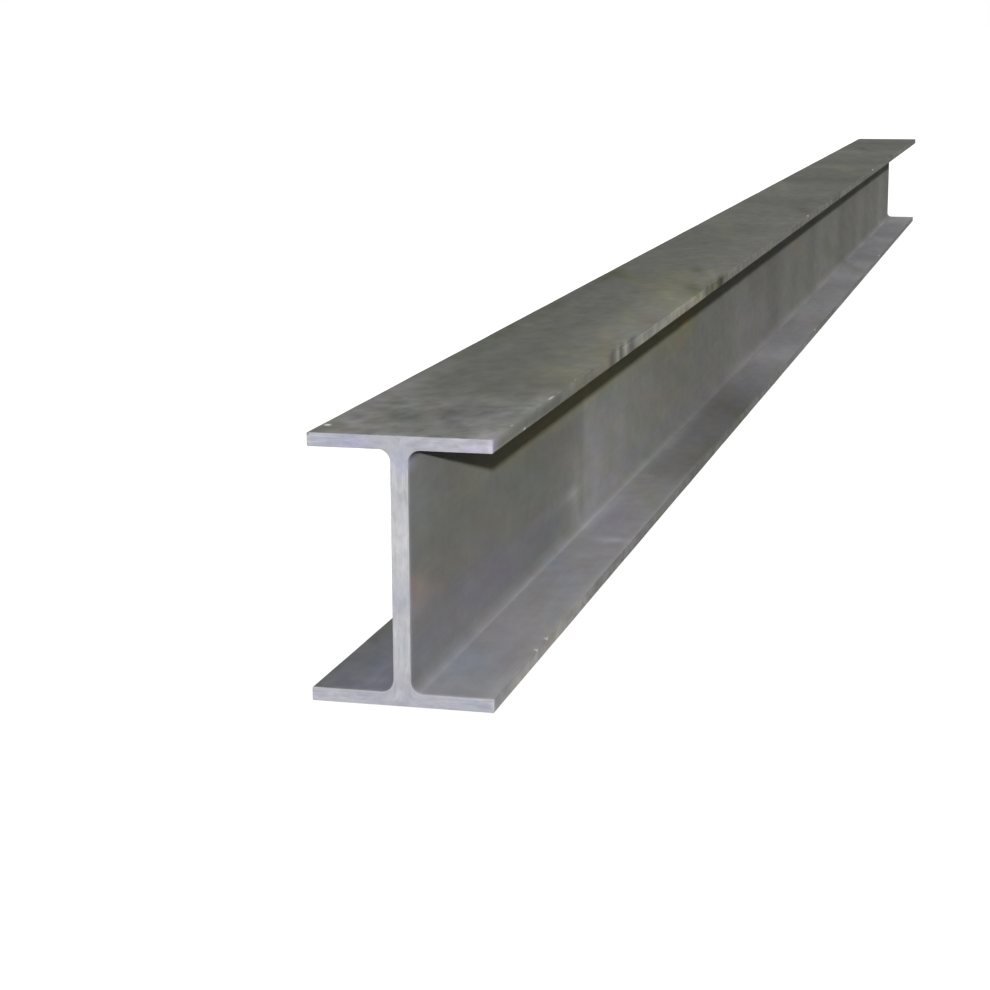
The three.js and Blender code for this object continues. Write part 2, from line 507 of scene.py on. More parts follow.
# Rows for patches, by their face and how far round the outline they drift for each metre along.
PATCHES = {
    ("top", 0.20): (
        (-0.08, 0.32, 0.016, 0.06, 0.18, -0.4, 0.2),
        (-0.038, 0.11, 0.012, 0.026, -0.28, 0.2, -0.1),
        (-0.012, 0.098, 0.012, 0.03, -0.3, 0.3, -0.4),
        (-0.074, 0.1, 0.009, 0.02, -0.18, 0, 0.1),
        (0.018, 0.15, 0.022, 0.034, -0.32, -0.2, 0.1),
        (-0.022, 0.247, 0.011, 0.026, -0.18, 0, 0.1),
        (0.012, 0.29, 0.016, 0.04, -0.16, 0.1),
        (-0.048, 0.165, 0.009, 0.02, 0.26, 0, -0.3),
        (-0.01, 0.208, 0.012, 0.026, 0.22, -0.5, 0.3),
        (0.046, 0.086, 0.013, 0.024, 0.26, -0.5, 0.3),
        (0.07, 0.166, 0.014, 0.03, 0.2, -0.1, -0.1),
        (-0.064, 0.066, 0.013, 0.022, 0.2, -0.4, 0.1),
        (0.086, 0.036, 0.018, 0.03, 0.2, -0.4, 0.2),
        (-0.05, 0.43, 0.01, 0.036, -0.14),
        (-0.078, 0.47, 0.012, 0.04, 0.16),
        (-0.056, 0.67, 0.009, 0.06, 0.16, 0.1, -0.1),
        (-0.078, 0.672, 0.01, 0.06, 0.04, 0.6, -0.3),
        (-0.055, 0.6, 0.009, 0.09, 0, -0.6, 0.4),
        (-0.08, 0.88, 0.01, 0.05, 0.16, 0.2, -0.1),
        (-0.094, 0.86, 0.007, 0.05, -0.16, 0.8, -0.2),
        (-0.087, 1.085, 0.01, 0.08, -0.12, 0.6, -0.2),
        (-0.004, 0.37, 0.016, 0.05, -0.12, -0.1),
        (0, 0.61, 0.018, 0.07, -0.08, -0.1),
        (-0.06, 0.6, 0.02, 0.12, 0, 0.1, -0.25),
        (-0.022, 1.16, 0.018, 0.14, 0, 0.1, -0.2),
        (0.034, 1.13, 0.012, 0.07, 0.02, 0.1, -0.3),
        (-0.03, 1.02, 0.01, 0.11, -0.06, -0.1),
        (-0.08, 1.52, 0.02, 0.08, -0.24, 0.6, -0.3),
        (-0.044, 1.49, 0.02, 0.09, 0, 0.9, -0.3),
        (0.052, 0.49, 0.016, 0.09, 0.16, 0.5, -0.3),
        (0.088, 0.37, 0.014, 0.045, -0.1, 0, -0.1),
        (0.06, 0.74, 0.014, 0.11, 0.02, 0.2, 0.35),
        (0.04, 0.85, 0.01, 0.06, 0, 0, 0.5),
        (0.082, 0.61, 0.012, 0.08, 0.02, 0.2, 0.3),
        (0.084, 0.8, 0.018, 0.07, 0.14, -0.4, -0.1),
        (0.01, 0.86, 0.022, 0.07, 0.05),
        (0.01, 1.2, 0.024, 0.16, 0.05),
        (0.04, 1.01, 0.014, 0.08, 0.04, 1, -0.3),
        (0.074, 0.99, 0.012, 0.09, -0.08, -0.2, 1),
        (0.048, 1.32, 0.028, 0.22, 0.22, 0.85),
        (0.012, 1.33, 0.009, 0.1, 0.02, -0.2, 0.8),
        (0.022, 1.52, 0.02, 0.1, 0.14, 0.9, -0.3),
        (0.084, 1.34, 0.013, 0.07, -0.38, 0.9, -0.4),
        (0.045, 1.62, 0.012, 0.05, -0.34, 0.9),
        (0.072, 1.56, 0.016, 0.07, 0.18, 0.1, 0.3),
        (0.078, 1.19, 0.01, 0.06, 0.02, -0.5, 0.3),
        (-0.02, 2.35, 0.03, 0.16, 0.18, 0.4),
        (0.06, 2.9, 0.02, 0.1, -0.24, 0.4),
        (-0.06, 3.6, 0.025, 0.18, 0.2, 0.2, 0.2),
        (0.03, 4.3, 0.03, 0.2, 0.16, 0.5, -0.2),
        (-0.01, 5.3, 0.022, 0.13, -0.22, 0.3, 0.2),
    ),
    ("web_right", -0.18): (
        (0.118, 0.04, 0.015, 0.052, 0.24, 0, 1.5),
        (0.102, 0.11, 0.008, 0.034, 0.06, 0, 0.8),
        (0.1, 0.03, 0.013, 0.034, 0.22, -0.1, 0.4),
        (0.135, 0.3, 0.009, 0.06, 0, 0.1, 0.7),
        (0.156, 0.74, 0.026, 0.07, -0.08, 0.1, 0.3),
        (0.11, 0.78, 0.022, 0.06, 0.12, 0, 0.1),
        (0.044, 0.808, 0.028, 0.036, 0.3),
        (0.112, 0.82, 0.026, 0.034, 0.15, 0.1),
        (0.122, 0.19, 0.03, 0.06, -0.05),
        (0.15, 0.46, 0.03, 0.2, 0, 0.1, -0.35),
        (0.092, 0.925, 0.045, 0.06, 0.13, -0.45, 0.15),
        (0.188, 0.96, 0.016, 0.11, -0.13, 0.2),
        (0.134, 1.32, 0.02, 0.2, 0.06),
        (0.036, 1.25, 0.016, 0.16, -0.07),
        (0.183, 1.24, 0.016, 0.1, -0.07),
        (0.164, 1.01, 0.014, 0.06, 0.02, -0.1, -0.7),
        (0.088, 1.116, 0.034, 0.04, 0.05, -0.35, 0.1),
        (0.08, 1.236, 0.028, 0.06, 0.02, 0.3, -0.4),
        (0.106, 1.4, 0.012, 0.14, 0.02, 0.1, 0.9),
        (0.134, 1.5, 0.014, 0.08, 0, 0, 0.4),
        (0.06, 1.488, 0.014, 0.06, 0.1, 0.2, 0.1),
        (0.118, 1.58, 0.026, 0.08, -0.02, 0.2, -0.4),
        (0.05, 1.6, 0.014, 0.05, -0.04, -0.5, 0.7),
        (0.16, 1.64, 0.012, 0.06, 0.04, 0.1, 1.2),
        (0.09, 2.6, 0.06, 0.24, 0.14, -0.3, 0.2),
        (0.17, 3.3, 0.02, 0.12, 0.06, 0.5, 0.9),
        (0.07, 4.1, 0.03, 0.2, -0.12, 0.3, -0.3),
        (0.12, 5.1, 0.04, 0.2, 0.12, -0.2, 0.4),
    ),
    ("low_inner_right", 0.27): (
        (0.045, 0.105, 0.03, 0.085, 0, -0.16, -0.4),
        (0.088, 0.335, 0.009, 0.026, 0, 0.1, -0.8),
        (0.06, 0.29, 0.04, 0.07, 0.05, 0.1, 0.4),
        (0.036, 0.46, 0.016, 0.08, -0.08, 0, -0.1),
        (0.026, 0.59, 0.008, 0.03, 0, 0.1, -1.1),
        (0.062, 0.52, 0.02, 0.1, -0.01, -0.3, -0.2),
        (0.056, 0.9, 0.034, 0.21, 0.01, -0.42, 0.2),
        (0.074, 0.744, 0.02, 0.016, 0.42, -0.2),
        (0.06, 0.66, 0.016, 0.016, 0.06),
        (0.078, 1.02, 0.018, 0.12, -0.04, 0.5, -0.1),
        (0.04, 1.185, 0.014, 0.02, 0.14, 0.2, -0.1),
        (0.03, 1.29, 0.02, 0.08, -0.06, 0.2, -0.2),
        (0.085, 1.8, 0.03, 0.11, -0.14, 0.7, 0.1),
        (0.055, 3.1, 0.025, 0.14, 0.14, 0.2, 0.1),
        (0.07, 4.2, 0.02, 0.16, -0.18, 0.3),
        (0.04, 5.2, 0.02, 0.12, 0.12, -0.3, 0.2),
    ),
    ("top", 0): (
        (0, 0, 0.2, 0.014, 0.14, -0.3, 0.1),
        (0, 0.08, 0.2, 0.18, -0.02, -0.28, 0.1),
        (-0.088, 0.26, 0.018, 0.22, 0.3, -0.2, 0.1),
        (-0.09, 0.73, 0.014, 0.06, -0.16, -0.1),
        (-0.09, 1.09, 0.014, 0.06, -0.08),
        (0.092, 0.07, 0.022, 0.08, 0.38, -0.1, 0.1),
        (0.094, 0.24, 0.012, 0.1, 0.36, -0.1),
        (0.098, 1.06, 0.005, 0.3, 0.14),
        (0.095, 0.8, 0.01, 0.11, 0.16, 0.1, 0.1),
        (0.094, 1.19, 0.01, 0.09, 0.12, 0.1),
        (0.078, 0.72, 0.03, 0.7, 0, 0.25),
        (0.086, 0.5, 0.022, 0.11, 0.28, 0.1, 0.1),
        (-0.088, 1.47, 0.014, 0.08, -0.26, 0.3),
        (0.08, 0.72, 0.05, 0.24, 0.34),
        (0.08, 1.15, 0.05, 0.26, 0.3),
        (0.08, 1.6, 0.05, 0.28, 0.28),
        (0.07, 2.15, 0.05, 0.38, 0.26),
        (-0.092, 1.05, 0.022, 0.5, -0.12),
    ),
    ("web_right", 0): (
        # Painted shade: these rows give the shadow band under the upper flange, and its lower
        # fringe, the olive colour of that shade, and lighten it.
        (0.215, 0.62, 0.026, 0.32, 0.22, 1.7, 0.3),
        (0.194, 0.56, 0.009, 0.17, 0.24, 0.1, 0.2),
        (0.194, 1.5, 0.009, 0.11, 0.18, -1),
        (0.21, 0.4, 0.02, 0.11, 0.3, 0.3, 0.5),
        (0.188, 0.62, 0.009, 0.34, 0.04, 0.4, 0.1),
        (0.188, 1.25, 0.009, 0.3, 0.02, 0.2),
        (0.21, 0.83, 0.02, 0.11, 0, 0.5, -0.4),
        (0.215, 1.38, 0.026, 0.52, 0.18, 2.1, 0.3),
        (0.215, 0.99, 0.026, 0.15, -0.02, 0.7, 0.3),
        (0.2, 1.62, 0.03, 0.24, 0.04, 1.1),
        (0.12, 1.66, 0.06, 0.12, 0, 0.2, -0.1),
        (0.172, 1.68, 0.02, 0.16, 0, 0.4),
        (0.2, 0.05, 0.05, 0.14, 0.1, -0.2, -0.1),
        # Painted light on the upper right root fillet by the near end.
        (0.262, 0.01, 0.012, 0.022, 0.3, -0.9, 0.1),
        (0.055, 0.25, 0.036, 0.34, 0.01, -0.8, 0.2),
        (0.034, 1.05, 0.016, 0.8, 0, -0.35),
        (0.07, 0.6, 0.008, 0.17, 0.13, -0.1),
        (0.067, 0.782, 0.008, 0.052, 0.32, -0.15, 0.15),
        (0.046, 0.69, 0.012, 0.06, -0.1, -0.1),
        (0.192, 1.69, 0.008, 0.06, 0.25, 1.2, 1.8),
        (0.15, 0, 0.09, 0.01, 0.14, -0.8, 0.1),
        (0.258, 0.02, 0.024, 0.07, 0.19, -0.3),
        (0.19, 0.004, 0.016, 0.014, -0.1),
        (0.226, 0.03, 0.028, 0.07, 0.1),
        (0.045, 0.03, 0.018, 0.07, 0.02, -0.35),
        (0.14, 1, 0.04, 0.16, 0.03, -0.2, 0.05),
    ),
    ("low_inner_right", 0): (
        # Painted highlight: pale stripes along the root fillet, where it runs out flat.
        (0.0165, 0.48, 0.003, 0.08, 0.1, 0.2, -0.1),
        (0.0195, 0.88, 0.0065, 0.2, 0.19, 0.1),
        (0.019, 1.26, 0.0065, 0.17, 0.2, 0.1, -0.1),
        (0.029, 0.89, 0.008, 0.11, 0.12),
        (0.06, 0, 0.06, 0.022, -0.07, -0.3, 0.1),
        (0.064, 0.018, 0.014, 0.008, -0.08),
        (0.088, 0.012, 0.012, 0.014, -0.06),
        (0.055, 0.1, 0.045, 0.16, -0.01, -0.25),
        (0.094, 0.46, 0.007, 0.16, 0.08),
        (0.094, 0.06, 0.006, 0.08, 0.08),
        (0.08, 0.15, 0.012, 0.15, -0.05),
        (0.094, 1.39, 0.008, 0.17, -0.12),
        # Painted highlight, a broad pale stripe by the root fillet; then painted shade, darker in
        # the fillet's middle further on and lighter by the near end.
        (0.023, 1.5, 0.01, 0.34, 0.34, 0.2, -0.1),
        (0.013, 1.06, 0.006, 0.17, -0.12, 0.2, -0.1),
        (0.013, 0, 0.006, 0.08, 0.1),
        (0.08, 1.46, 0.026, 0.28, -0.17, 0.4),
        (0.0975, 0.6, 0.003, 0.7, 0.12),
    ),
    ("low_inner_left", 0): (
        (-0.055, 0, 0.07, 0.26, 0, -0.86, -0.1),
        (-0.094, 0.03, 0.018, 0.11, -0.02, -0.1, -0.45),
        (-0.096, 0.13, 0.022, 0.3, -0.15, 0.3),
        (-0.032, 0.06, 0.018, 0.26, 0.18),
    ),
    ("up_toe_right", 0): (
        (0.2825, 0.25, 0.007, 0.05, -0.16),
        (0.2825, 0.37, 0.007, 0.04, 0.32),
        (0.2825, 1.14, 0.007, 0.1, -0.13),
        (0.2825, 1.03, 0.012, 0.036, 0.06, 0, -0.35),
        (0.2825, 1.115, 0.012, 0.04, 0.02, 0, 0.45),
        (0.2825, 1.26, 0.012, 0.09, 0.02, 0.45),
        (0.281, 1.45, 0.012, 0.09, 0, 1.3, -0.1),
        (0.2825, 0.4, 0.012, 0.04, 0.02, 0.3),
        (0.2825, 0.305, 0.012, 0.04, 0, -0.4, -0.1),
        (0.2825, 0.5, 0.012, 0.04, 0, -0.3, 0.1),
        (0.2762, 0.12, 0.0022, 0.13, 0.38, 0.2, 0.1),
        (0.2875, 0.34, 0.004, 0.1, 0.08),
        (0.2882, 0.09, 0.0028, 0.14, 0.2, 0.1),
        (0.2825, 0.09, 0.012, 0.12, 0, 0.2, -0.2),
        (0.2885, 1.06, 0.0035, 0.3, -0.12),
        (0.279, 0.85, 0.004, 0.08, 0.06),
        (0.278, 1.05, 0.004, 0.24, 0.08, 0.1),
        (0.2825, 0.56, 0.012, 0.07, 0, 0.1, 0.35),
        (0.2825, 0.01, 0.012, 0.015, 0.26, -1.3, 0.2),
        (0.2815, 0.055, 0.0042, 0.05, -0.14, 0.4, -0.1),
    ),
    ("low_toe_right", 0): (
        (0.0075, 0.25, 0.007, 0.03, -0.15),
        (0.0085, 0.33, 0.01, 0.11, 0.04, 0.1, 0.3),
        (0.003, 0.18, 0.004, 0.22, 0.1),
        (0.008, 0.082, 0.008, 0.013, 0.28, 0.1),
        (0.014, 0.1, 0.004, 0.12, -0.08),
        (0.004, 1.18, 0.005, 0.16, -0.04),
        (0.012, 1.13, 0.005, 0.34, 0.06),
        (0.0015, 1.3, 0.003, 0.7, -0.08),
    ),
}
# A patch's edge wanders by this share of its size, in waves along and round it: how fast they go,
# and how far they shift for each metre that the patch is further on.
WANDER = 0.25
WANDER_ROUND, SHIFT_ROUND = 1.4, 40
WANDER_ALONG, SHIFT_ALONG = 1.2, 90
# The line that a face with patches lies on, across the beam: its x or its z.
FACE_X = {"web_right": WEB_FACE, "up_toe_right": TOE_X, "low_toe_right": TOE_X}
FACE_Z = {"top": HIGH.z, "low_inner_right": INNER_LOW, "low_inner_left": INNER_LOW}

# Painted light in a root fillet, by how upright its surface faces: a painted highlight line where
# it runs out flat, and painted shade in its middle.
ROOT_HIGHLIGHT_ALONG = ((0, 0.10), (0.3, 0.16), (0.8, 0.16), (1.1, 0.05))  # how pale
ROOT_HIGHLIGHT_PLACE, ROOT_HIGHLIGHT_WIDTH = 0.945, 0.045
ROOT_PAINTED_SHADE, ROOT_PAINTED_SHADE_PLACE, ROOT_PAINTED_SHADE_WIDTH = 0.18, 0.55, 0.38
# Painted shade on the rounded edge before a face: how much darker it is painted, since it would else
# catch more light than the flats.
EDGE_PAINTED_SHADE = {"top": 0.14, "low_inner_right": 0.28}
WARM, PINK = (1.02, 1.01, 0.80), (1.10, 0.97, 0.95)  # one step warmer, one step redder


def patch_shape(patch, face, along, lean):
    """1 in the middle of a patch. Its edge wanders a little."""
    middle = (FACE_X.get(face, patch.across), FACE_Z.get(face, patch.across))
    past = along - patch.along
    gap = gap_round(*middle) - lean * past
    drift = np.sin(gap / patch.width * WANDER_ROUND + patch.along * SHIFT_ROUND)
    sway = np.sin(along / patch.length * WANDER_ALONG + patch.across * SHIFT_ALONG)
    past = past + drift * patch.length * WANDER
    return bump(past, patch.length) * bump(gap + sway * patch.width * WANDER, patch.width)


def along_beam(table, along):
    """The value of a table of places and values, at distances along the beam."""
    places, values = zip(*table)
    return np.interp(along, places, values)


# Painted highlight and painted shade in the root fillets.
def root_highlight_and_shade(along):
    upright = np.abs(OUTLINE.normals[:, 1])
    highlight = along_beam(ROOT_HIGHLIGHT_ALONG, along) * bump(upright - ROOT_HIGHLIGHT_PLACE, ROOT_HIGHLIGHT_WIDTH)
    painted_shade = ROOT_PAINTED_SHADE * bump(upright - ROOT_PAINTED_SHADE_PLACE, ROOT_PAINTED_SHADE_WIDTH)
    return 1 + OUTLINE.root * (highlight - painted_shade)


# Painted shade on the rounded toe edges.
def edge_shade():
    painted_shade = np.zeros(len(OUTLINE.face))
    for after, amount in EDGE_PAINTED_SHADE.items():
        painted_shade[OUTLINE.face == FACE_NAMES.index(after)] = amount
    return 1 - painted_shade * OUTLINE.toe * (OUTLINE.turn < 1)


def face_values(field, along, tables):
    """One value of the faces' scale, laid round the outline and blended over its arcs."""
    values = np.tile([getattr(face, field) for face in FACES.values()], (len(along), 1))
    for name, table in tables.items():
        values[:, FACE_NAMES.index(name)] *= along_beam(table, along[:, 0])
    here, before = values[:, OUTLINE.face], values[:, OUTLINE.face - 1]
    return before + (here - before) * OUTLINE.turn


def scale_and_painted_light(along):
    """Colour and blotchiness of the scale round the outline, at a column of distances, with painted
    shade, painted highlights and painted reflections laid into the colour.
    """
    level = face_values("level", along, LEVEL_ALONG)
    warmth = face_values("warmer", along, {})
    redness = face_values("redder", along, {})
    for wave in TONE_WAVES:
        amount = wave.amount * along_beam(TONE_WAVES_ALONG, along)
        level *= 1 + amount * wave_shape(wave, along)
    for (face, lean), rows in PATCHES.items():
        for patch in (Patch(*row) for row in rows):
            shape = patch_shape(patch, face, along, lean)
            level *= 1 + patch.lighter * shape
            warmth += patch.warmer * shape
            redness += patch.redder * shape
    for stroke in STROKES:
        # the strokes' tone, partly painted shade and painted highlight
        level *= 1 + stroke.lighter * stroke_shape(stroke, along)
    # painted highlight and shade in the root fillets, and painted shade on the rounded edges
    level *= root_highlight_and_shade(along) * edge_shade()
    tint = warmth[..., None] * np.log(WARM) + redness[..., None] * np.log(PINK)
    return level[..., None] * np.exp(tint), face_values("blotched", along, BLOTCHES_ALONG)


def bareness(along):
    """1 where a nick is deep enough to show bright steel."""
    shown = sum(nick_shape(nick, along) * nick.depth / BARE_DEPTH for nick in NICKS)
    return np.clip(shown, 0, 1)


# -------------------------------- the beam's mesh
# Rings of vertices are this close up to a stretch from the near end and past it, and the least.
NEAR_STRETCH, NEAR_STEP, FAR_STEP = 1.75, 0.0070, 0.032
LEAST_STEP = 0.0008
# The deburring of a sawn end: its mean size and how much that varies, as shares of the chamfer,
# how fast it varies round the outline, and where its rounded middle is, as a share of its size.
DEBURR_MEAN, DEBURR_SWING = 0.9, 0.16
DEBURR_QUICK, DEBURR_SLOW = 190, 83
DEBURR_MIDDLE = 0.35
DEBURR_BANDS = 2  # rings of faces
SCALED, SAWN = 0, 1  # the order of the beam's materials
SHARP_ANGLE = math.radians(36)
# The map for baking: the gap between its parts, and how much larger it shows the sawn ends.
MAP_GAP = 0.01
END_ENLARGED = 1.65


def stations():
    """Places along the beam of its rings of vertices, closest near the near end and at nicks."""
    bend = NEAR_END + NEAR_STRETCH
    places = list(np.arange(NEAR_END + NEAR_STEP, bend, NEAR_STEP))
    places += list(np.linspace(bend, FAR_END - NEAR_STEP, round((FAR_END - bend) / FAR_STEP)))
    for nick in NICKS:
        middle = NEAR_END + nick.along
        places += list(np.linspace(middle - nick.length, middle + nick.length, NICK_RINGS))
    places = np.sort(places)
    keep = np.concatenate(([True], np.diff(places) > LEAST_STEP))
    return places[keep]


def end_rings(end, inward):
    """Rings of the deburred edge at one end: where each is along the beam, and its inset."""
    quick = np.sin(OUTLINE.distance * DEBURR_QUICK)
    slow = np.sin(OUTLINE.distance * DEBURR_SLOW + end)
    size = CHAMFER * (DEBURR_MEAN + DEBURR_SWING * (quick + slow))
    none, middle = np.zeros_like(size), size * DEBURR_MIDDLE
    steps = ((none, size), (middle, middle), (size, none))
    return [(end + inward * step, inset) for step, inset in steps]


def beam_rings():
    """Vertices, as rings along the beam."""
    near, far = end_rings(NEAR_END, 1), end_rings(FAR_END, -1)
    count = len(OUTLINE.distance)
    sides = [(np.full(count, y), np.zeros(count)) for y in stations()]
    rings = near + sides + far[::-1]
    along = np.array([y for y, inset in rings])
    inset = np.array([inset for y, inset in rings]) + relief(along - NEAR_END)
    across = OUTLINE.places - OUTLINE.normals * inset[:, :, None]
    return np.stack((across[..., 0], along, across[..., 1]), axis=-1)


def side_faces(rings, count):
    i = np.arange(count)
    after = (i + 1) % count
    starts = np.arange(rings - 1)[:, None] * count
    corners = (starts + i, starts + count + i, starts + count + after, starts + after)
    return np.stack(corners, axis=-1).reshape(-1, 4)


def flat_map(rings):
    """The surface laid flat on one square map: two strips that are half the beam each, and the
    ends. Returns a pair of coordinates for each corner of each face."""
    count = len(OUTLINE.distance)
    along = rings[:, 0, 1]
    split = int(np.argmin(np.abs(along)))
    side = max(along[split] - along[0], along[-1] - along[split]) + 2 * MAP_GAP
    around = np.append(OUTLINE.distance, OUTLINE.length)
    corners = []
    for first, last, shelf in ((0, split, 0), (split, len(along) - 1, 1)):
        u = MAP_GAP + along[first : last + 1] - along[first]
        v = MAP_GAP + around + shelf * (OUTLINE.length + MAP_GAP)
        u0, v0 = np.meshgrid(u[:-1], v[:-1], indexing="ij")
        u1, v1 = np.meshgrid(u[1:], v[1:], indexing="ij")
        quads = np.stack((u0, v0, u1, v0, u1, v1, u0, v1), axis=-1)
        corners.append(quads.reshape(-1, 2))
    shelf = MAP_GAP + 2 * (OUTLINE.length + MAP_GAP)
    depth = HIGH.z - LOW.z
    for k, ring in enumerate((rings[0], rings[-1][::-1])):
        u = MAP_GAP + (ring[:, 2] - LOW.z + k * (depth + MAP_GAP)) * END_ENLARGED
        v = shelf + (ring[:, 0] + TOE_X) * END_ENLARGED
        corners.append(np.column_stack((u, v)))
    return np.concatenate(corners) / side


def add_layer(mesh, name, values, kind="FLOAT", field="value"):
    layer = mesh.attributes.new(name, kind, "POINT")
    layer.data.foreach_set(field, values.astype(np.float32).ravel())


def paint(mesh, along):
    """Stores the looks of the scale, with its painted shade, highlights and reflections, at each
    vertex, for its material to read.
    """
    colour, blotches = scale_and_painted_light(along)
    opaque = np.append(colour, np.ones((*blotches.shape, 1)), axis=-1)
    add_layer(mesh, "scale", opaque, "FLOAT_COLOR", "color")
    add_layer(mesh, "toe", np.tile(OUTLINE.toe, (len(along), 1)))
    add_layer(mesh, "blotched", blotches)
    add_layer(mesh, "bare", bareness(along))


def beam_mesh():
    rings = beam_rings()
    number, count = rings.shape[:2]
    faces = side_faces(number, count).tolist()
    sides, last = len(faces), (number - 1) * count
    faces += [list(range(count)), list(range(last + count - 1, last - 1, -1))]
    mesh = bpy.data.meshes.new("beam")
    mesh.from_pydata(rings.reshape(-1, 3).tolist(), [], faces)
    paint(mesh, rings[:, :1, 1] - NEAR_END)
    uv = mesh.uv_layers.new(name="OFBake")
    uv.data.foreach_set("uv", flat_map(rings).astype(np.float32).ravel())

    deburred = DEBURR_BANDS * count
    materials = np.full(len(faces), SCALED, dtype=np.int32)
    materials[:deburred] = SAWN
    materials[sides - deburred :] = SAWN
    mesh.polygons.foreach_set("material_index", materials)
    mesh.validate()
    mesh.set_sharp_from_angle(angle=SHARP_ANGLE)
    smooth = np.ones(len(faces), dtype=bool)
    smooth[sides:] = False
    mesh.polygons.foreach_set("use_smooth", smooth)
    return mesh


# -------------------------------- mill scale
CLOUDS = Noise((0.032, 0.17, 0.032), 2.0, 0.3, swing=0.06)
MOTTLE = Noise((0.020, 0.032, 0.020), 1.5, 0.3, height=0.15)
DRAWN = Noise((0.012, 0.30, 0.012), 2.0, swing=0.02)
STREAKS = Noise((0.004, 0.16, 0.004), 1.0, swing=0.02, height=0.30)
GRAIN = Noise((0.0022, 0.0035, 0.0022), 2.0, swing=0.025, height=0.35)
HUE = Noise((0.030, 0.21, 0.030), 1.0)
BLUSH = Noise((0.041, 0.28, 0.041), 1.0)
WEAR = Noise((0.004, 0.022, 0.004), 3.0)
SCALE_LEAN = 0.2  # how far the clouding of the scale drifts across for each metre along
BLUER, YELLOWER = (0.990, 1.00, 1.036), (1.010, 1.00, 0.964)
GREENER, PINKER = (0.989, 1.005, 0.997), (1.013, 0.994, 1.003)
RUST = (0.09, 0.05, 0.03)
BARE_STEEL = (0.62, 0.62, 0.61)
# Where each rises, on the noise or the depth of nick behind it, and its height or share.
TINT_RISE = (0.3, 0.7)
PIT_RISE, PIT_HEIGHT = (0.68, 0.76), -0.5
RUST_RISE, RUST_SHARE = (0.55, 0.68), 0.5
WEAR_RISE, WEAR_SHARE = (0.52, 0.66), 0.09
BARE_RISE = (0.20, 0.85)
BARE_METALLIC = 0.3
SCALE_ROUGHNESS, BARE_ROUGHNESS = 0.8, 0.5
SCALE_SHEEN = 0.03
SCALE_EMBOSS, SCALE_RELIEF = 0.5, 0.0004


def mill_scale():
    """Dull grey oxide, blotched and streaked along the beam, worn on edges and bare in nicks."""
    material = bpy.data.materials.new("mill_scale")
    tree = Tree(material)
    # The stored colour holds the scale's own colour and also painted shade, painted highlights and
    # painted reflections.
    painted = tree.attribute("scale", "Color")
    toe, nicked, blotched = (tree.attribute(name) for name in ("toe", "bare", "blotched"))
    place = tree.place()
    leaning = tree.leaning(place, SCALE_LEAN)
    clouds, hue, blush = (tree.noise(leaning, noise) for noise in (CLOUDS, HUE, BLUSH))
    steady = (MOTTLE, DRAWN, STREAKS, GRAIN, WEAR)
    mottle, drawn, streaks, grain, wear = (tree.noise(place, noise) for noise in steady)
    pits = tree.rise(grain, *PIT_RISE)

    tone = tree.product(
        tree.one_plus(tree.math("SUBTRACT", mottle, 0.5), blotched),
        tree.swing(clouds, CLOUDS.swing),
        tree.swing(drawn, DRAWN.swing),
        tree.swing(streaks, STREAKS.swing),
        tree.swing(grain, GRAIN.swing),
    )
    tint = tree.mix(tree.rise(hue, *TINT_RISE), BLUER, YELLOWER)
    flush = tree.mix(tree.rise(blush, *TINT_RISE), GREENER, PINKER)
    scale = tree.scaled(tree.tinted(painted, tint, flush), tone)
    rusted = tree.product(pits, tree.rise(hue, *RUST_RISE), RUST_SHARE)
    scale = tree.mix(rusted, scale, RUST)
    worn = tree.product(toe, tree.rise(wear, *WEAR_RISE), WEAR_SHARE)
    bare = tree.math("MAXIMUM", worn, tree.rise(nicked, *BARE_RISE))

    height = tree.total(
        tree.product(grain, GRAIN.height),
        tree.product(streaks, STREAKS.height),
        tree.product(mottle, MOTTLE.height),
        tree.product(pits, PIT_HEIGHT),
    )
    smoother = BARE_ROUGHNESS - SCALE_ROUGHNESS
    shader = {
        "Base Color": tree.mix(bare, scale, BARE_STEEL),
        "Metallic": tree.product(bare, BARE_METALLIC),
        "Roughness": tree.math("MULTIPLY_ADD", bare, smoother, SCALE_ROUGHNESS),
        "Specular IOR Level": SCALE_SHEEN,
    }
    tree.show_steel(height, SCALE_EMBOSS, SCALE_RELIEF, shader)
    return material


# -------------------------------- sawn ends
SAWN_GREY = (0.306, 0.307, 0.327)
# What one step bluer or redder adds to the tint.
SAWN_BLUER, SAWN_REDDER = (-0.030, -0.026, 0.050), (0.022, -0.016, 0.006)
SAWN_METALLIC, SAWN_ROUGHNESS, SAWN_SHEEN = 0.2, 0.55, 0.3
SAWN_EMBOSS, SAWN_RELIEF = 0.3, 0.0001
RIM_TINT = (1.025, 1.012, 0.950)
RIM_WIDTH = 0.0016  # the yellower rim that the deburring left
FLANGE_TINT = (0.890, 0.893, 0.945)
FLANGE_FADE = 0.045  # how far from the outside the flanges' darker grey has gone into the web
FLOW_TURN = 0.014  # how widely the streaks turn where the web meets a flange
FLOW_SETTLES = (0.006, 0.034)  # the streaks are faint in the joint and clear past it
SEAM_PLACE, SEAM_WIDTH, SEAM_DARK = 0.012, 0.0022, 0.08  # the V where the two flows meet

# Noise that follows the flow is sized across it first, and then along it.
CUT_STREAKS = Noise((0.0016, 0.035, 0.035), 3.0)
CUT_LINES = Noise((0.0005, 0.02, 0.02), 1.0, swing=0.03, height=0.6)
CUT_CLOUDS = Noise((0.006, 0.014, 0.014), 2.0, 0.4, swing=0.14)
CUT_HUE = Noise((0.022, 0.022, 0.022), 2.0, 0.4)
CUT_BLUSH = Noise((0.014, 0.014, 0.014), 2.0)
CUT_GRIT = Noise((0.0010, 0.0010, 0.0010), 1.0, swing=0.03, height=0.4)
STREAK_SHARE = 0.5
HUE_RANGE, BLUSH_RANGE = 2.4, 3.2
WEB_CALM = 0.4  # how much less the colour drifts in the web

